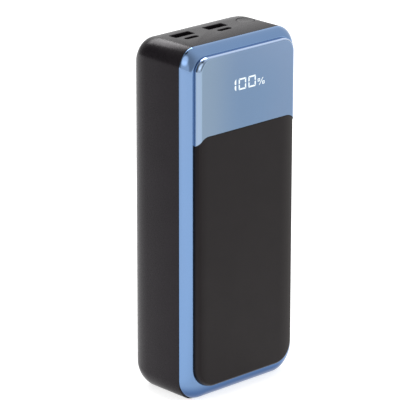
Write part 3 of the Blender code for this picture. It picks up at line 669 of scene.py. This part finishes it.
def make_button(materials):
    """A round cap with a soft rim and a faintly dished top, on its flange and stem."""
    centre = button_centre()
    top = BUTTON_HIGH.z
    flange_bottom = BUTTON_LOW.z + STEM_LENGTH
    flange_top = flange_bottom + FLANGE_HEIGHT
    profile = [(STEM_RADIUS, BUTTON_LOW.z), (STEM_RADIUS, flange_bottom), (FLANGE_RADIUS, flange_bottom),
               (FLANGE_RADIUS, flange_top), (CAP_RADIUS, flange_top), (CAP_RADIUS, top - CAP_ROUND)]
    for step in range(1, 7):
        angle = math.pi / 2 * step / 6
        inset = CAP_ROUND * (1 - math.cos(angle))
        profile.append((CAP_RADIUS - inset, top - CAP_ROUND + CAP_ROUND * math.sin(angle)))
    for share, dip in ((0.8, 0.03), (0.5, 0.12), (0.15, 0.15)):
        profile.append((CAP_RADIUS * share, top - dip))
    bm = bmesh.new()
    loops = []
    for ring_radius, z in profile:
        loop = []
        for step in range(CAP_SEGMENTS):
            angle = 2 * math.pi * step / CAP_SEGMENTS
            x = centre[0] + ring_radius * math.cos(angle)
            y = centre[1] + ring_radius * math.sin(angle)
            loop.append(bm.verts.new((x, y, z)))
        loops.append(loop)
    bridge_loops(bm, loops)
    button = mesh_object(bm, "button_cap")
    stand_for(button, "power_button", "button", materials["button_plastic"])


# ---------------------------------------------------------------- display digits

DIGIT_LOW = 157.8
DIGIT_HEIGHT = 5.8
DIGIT_WIDTH = 5.0
STROKE = 0.8
SEGMENT_GAP = 0.2
DIGIT_THICKNESS = 0.03


def add_plate(bm, outline):
    """A thin plate on the face of the lens; outline lists (x, z)."""
    loops = []
    for y in (FRONT_Y - DIGIT_THICKNESS, FRONT_Y + 0.2):
        loops.append([bm.verts.new((x, y, z)) for x, z in outline])
    bridge_loops(bm, loops)


def segment_outlines(width, height, stroke):
    """The six outer segments of a digit, with mitred corners and bevelled ends at half height."""
    gap = SEGMENT_GAP
    middle = height / 2
    bar = ((gap, height), (width - gap, height), (width - stroke - gap, height - stroke),
           (stroke + gap, height - stroke))
    side = ((width, height - gap), (width, middle + gap), (width - stroke / 2, middle + gap),
            (width - stroke, middle + gap + stroke / 3), (width - stroke, height - stroke - gap))
    mirrored = [(width - x, z) for x, z in side]
    return {
        "top": bar,
        "base": [(x, height - z) for x, z in bar],
        "right_upper": side,
        "right_lower": [(x, height - z) for x, z in side],
        "left_upper": mirrored,
        "left_lower": [(x, height - z) for x, z in mirrored],
    }


def show_digit(bm, name, material):
    digit = mesh_object(bm, name)
    digit.data.materials.append(material)
    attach(digit, "housing")


def make_zero(name, left, material):
    bm = bmesh.new()
    for outline in segment_outlines(DIGIT_WIDTH, DIGIT_HEIGHT, STROKE).values():
        add_plate(bm, [(left + x, DIGIT_LOW + z) for x, z in outline])
    show_digit(bm, name, material)


def make_one(name, left, material):
    """Two upright segments, cut off at their outer corners."""
    stroke = STROKE * 1.3
    gap = SEGMENT_GAP * 1.3
    middle = DIGIT_HEIGHT / 2
    upper = ((0.0, middle + gap + stroke * 0.3), (stroke * 0.35, middle + gap), (stroke, middle + gap),
             (stroke, DIGIT_HEIGHT), (stroke * 0.8, DIGIT_HEIGHT), (0.0, DIGIT_HEIGHT - stroke))
    lower = [(x, DIGIT_HEIGHT - z) for x, z in upper]
    bm = bmesh.new()
    for outline in (upper, lower):
        add_plate(bm, [(left + x, DIGIT_LOW + z) for x, z in outline])
    show_digit(bm, name, material)


def add_stroke(bm, start, end, width):
    """A straight bar between two points (x, z)."""
    along = (Vector(end) - Vector(start)).normalized()
    aside = Vector((-along.y, along.x)) * width / 2
    corners = (Vector(start) + aside, Vector(end) + aside, Vector(end) - aside, Vector(start) - aside)
    add_plate(bm, [(corner.x, corner.y) for corner in corners])


def make_percent(left, material):
    """A slash between two small open squares."""
    low = DIGIT_LOW
    high = low + 3.5
    width = 4.6
    stroke = 0.4
    half = 0.58
    bm = bmesh.new()
    add_stroke(bm, (left + 1.0, low), (left + width - 1.0, high), stroke)
    for x, z in ((left + 0.75, high - 0.9), (left + width - 0.75, low + 0.9)):
        reach = half + stroke / 2
        add_stroke(bm, (x - reach, z + half), (x + reach, z + half), stroke)
        add_stroke(bm, (x - reach, z - half), (x + reach, z - half), stroke)
        inner = half - stroke / 2
        add_stroke(bm, (x - half, z - inner), (x - half, z + inner), stroke)
        add_stroke(bm, (x + half, z - inner), (x + half, z + inner), stroke)
    show_digit(bm, "digit_percent", material)


def make_display():
    light = digit_light()
    make_one("digit_hundreds", -9.1, light)
    make_zero("digit_tens", -6.4, light)
    make_zero("digit_units", 0.15, light)
    make_percent(6.5, light)


# ---------------------------------------------------------------- stage

CAMERA_AZIMUTH = -43.257
CAMERA_ELEVATION = 18.429
CAMERA_ROLL = 0.058
CAMERA_DISTANCE = 1557.6
CAMERA_ASIDE = -7.293
CAMERA_UP = 3.3
CAMERA_LENS = 280.9
CAMERA_DEPTH = 1.0


def make_camera():
    azimuth = math.radians(CAMERA_AZIMUTH)
    elevation = math.radians(CAMERA_ELEVATION)
    back = Vector((math.sin(azimuth) * math.cos(elevation), -math.cos(azimuth) * math.cos(elevation),
                   math.sin(elevation)))
    right = Vector((math.cos(azimuth), math.sin(azimuth), 0.0))
    up = back.cross(right)
    target = Vector((0, CAMERA_DEPTH, HEIGHT / 2)) + right * CAMERA_ASIDE + up * CAMERA_UP
    place = target + back * CAMERA_DISTANCE
    camera = bpy.data.objects.new("camera", bpy.data.cameras.new("camera"))
    camera.data.lens = CAMERA_LENS
    camera.data.sensor_width = 36.0
    camera.data.clip_end = 50.0
    turn = Matrix((right, up, back)).transposed().to_4x4()
    roll = Matrix.Rotation(math.radians(CAMERA_ROLL), 4, "Z")
    camera.matrix_world = Matrix.Translation(place * MM) @ turn @ roll
    bpy.context.scene.collection.objects.link(camera)
    bpy.context.scene.camera = camera


# Slightly dimmer oval patches of the floor: middle and half-size in metres, on axes turned by FLOOR_TURN
FLOOR_TURN = 0.806
FLOOR_PATCHES = (
    ((0.5, -0.05), (0.38, 0.15)),
    ((-0.85, 0.0), (0.75, 0.42)),
)


def make_floor():
    """Pale glowing paper with a dimmer patch on either side, out of the camera's sight."""
    bm = bmesh.new()
    bmesh.ops.create_grid(bm, x_segments=8, y_segments=8, size=5000.0)
    floor = mesh_object(bm, "floor")
    nodes = Nodes("floor_paper")
    tone = nodes.ramp(nodes.noise(3.0), ((0.3, (0.59, 0.59, 0.595)), (0.7, (0.61, 0.61, 0.61))))
    nodes.link(tone, nodes.shader.inputs["Base Color"])
    coordinates = nodes.tree.nodes.new("ShaderNodeTexCoord")
    turned = nodes.add("ShaderNodeMapping", Rotation=(0.0, 0.0, FLOOR_TURN))
    nodes.link(coordinates.outputs["Object"], turned.inputs["Vector"])
    nearest = nodes.tree.nodes.new("ShaderNodeMath")
    nearest.operation = "MINIMUM"
    for socket, (middle, size) in zip(nearest.inputs, FLOOR_PATCHES):
        patch = nodes.add("ShaderNodeMapping", Location=(*middle, 0.0), Scale=(*size, 1.0))
        patch.vector_type = "TEXTURE"
        nodes.link(turned.outputs["Vector"], patch.inputs["Vector"])
        distance = nodes.tree.nodes.new("ShaderNodeVectorMath")
        distance.operation = "LENGTH"
        nodes.link(patch.outputs["Vector"], distance.inputs[0])
        nodes.link(distance.outputs["Value"], socket)
    glow = nodes.add("ShaderNodeMapRange", From_Min=0.2, From_Max=1.2, To_Min=0.34, To_Max=0.75)
    glow.interpolation_type = "SMOOTHSTEP"
    nodes.link(nearest.outputs["Value"], glow.inputs["Value"])
    nodes.link(glow.outputs["Result"], nodes.shader.inputs["Emission Strength"])
    nodes.set(Roughness=0.9, Specular_IOR_Level=0.1, Emission_Color=(1.0, 1.0, 1.0, 1.0))
    floor.data.materials.append(nodes.material)
    floor.location.z = -0.00002


# Soft round patches of the studio walls: axis, inner and outer angle in degrees, added radiance
WALL_PATCHES = (
    ((0.80, -0.15, 0.50), 35.0, 80.0, 0.45),
    ((0.65, 0.70, 0.28), 12.0, 34.0, 0.26),
    ((-0.92, -0.30, 0.10), 22.0, 40.0, 0.55),
    ((-0.75, -0.15, 0.62), 14.0, 30.0, 1.1),
    ((-0.65, 0.70, 0.20), 20.0, 45.0, -0.35),
    ((-0.22, 0.22, 0.95), 4.0, 13.0, -0.5),
)
WALL_RADIANCE = 0.5


def make_world():
    """Studio walls: an even grey with a few soft lighter and darker patches."""
    world = bpy.data.worlds.new("studio")
    bpy.context.scene.world = world
    world.use_nodes = True
    tree = world.node_tree
    direction = tree.nodes.new("ShaderNodeTexCoord").outputs["Generated"]
    total = tree.nodes.new("ShaderNodeValue").outputs["Value"]
    total.default_value = WALL_RADIANCE
    for axis, inner, outer, amount in WALL_PATCHES:
        total = add_patch(tree, direction, total, axis, inner, outer, amount)
    tree.links.new(total, tree.nodes["Background"].inputs["Strength"])
    tree.nodes["Background"].inputs["Color"].default_value = (1.0, 1.0, 1.0, 1.0)


def add_patch(tree, direction, total, axis, inner, outer, amount):
    closeness = tree.nodes.new("ShaderNodeVectorMath")
    closeness.operation = "DOT_PRODUCT"
    closeness.inputs[1].default_value = Vector(axis).normalized()
    tree.links.new(direction, closeness.inputs[0])
    patch = tree.nodes.new("ShaderNodeMapRange")
    patch.interpolation_type = "SMOOTHSTEP"
    patch.inputs["From Min"].default_value = math.cos(math.radians(outer))
    patch.inputs["From Max"].default_value = math.cos(math.radians(inner))
    patch.inputs["To Max"].default_value = amount
    tree.links.new(closeness.outputs["Value"], patch.inputs["Value"])
    total_node = tree.nodes.new("ShaderNodeMath")
    tree.links.new(total, total_node.inputs[0])
    tree.links.new(patch.outputs["Result"], total_node.inputs[1])
    return total_node.outputs["Value"]


def add_softbox(name, direction, distance, size, radiance):
    """A rectangular area light that faces the object; radiance is its brightness as seen."""
    middle = Vector((0.0, 0.0, HEIGHT / 2 * MM))
    place = middle + Vector(direction).normalized() * distance
    light = bpy.data.lights.new(name, "AREA")
    light.shape = "RECTANGLE"
    light.size = size[0]
    light.size_y = size[1]
    light.energy = radiance * math.pi * size[0] * size[1]
    obj = bpy.data.objects.new(name, light)
    obj.location = place
    obj.rotation_euler = (middle - place).to_track_quat("-Z", "Y").to_euler()
    bpy.context.scene.collection.objects.link(obj)


def make_lights():
    add_softbox("overhead_softbox", (0.2, 0.64, 0.74), 1.5, (0.9, 0.7), 5.8)


# ---------------------------------------------------------------- assembly

def dress_cad_nodes(materials):
    """Every CAD node that stays gets its slot's material."""
    slots = {part["node"]: part["material_slot"] for part in frame["record"]["subparts"]}
    for name, node in frame["nodes"].items():
        material = materials[slots[name]]
        node.data.materials.clear()
        node.data.materials.append(material)


def build():
    make_camera()
    materials = slot_materials()
    dress_cad_nodes(materials)
    make_housing(materials)
    make_frame(materials)
    make_panel(materials)
    make_lens(materials)
    make_button(materials)
    make_display()
    make_floor()
    make_world()
    make_lights()
    bpy.context.scene.view_settings.view_transform = "Standard"


build()
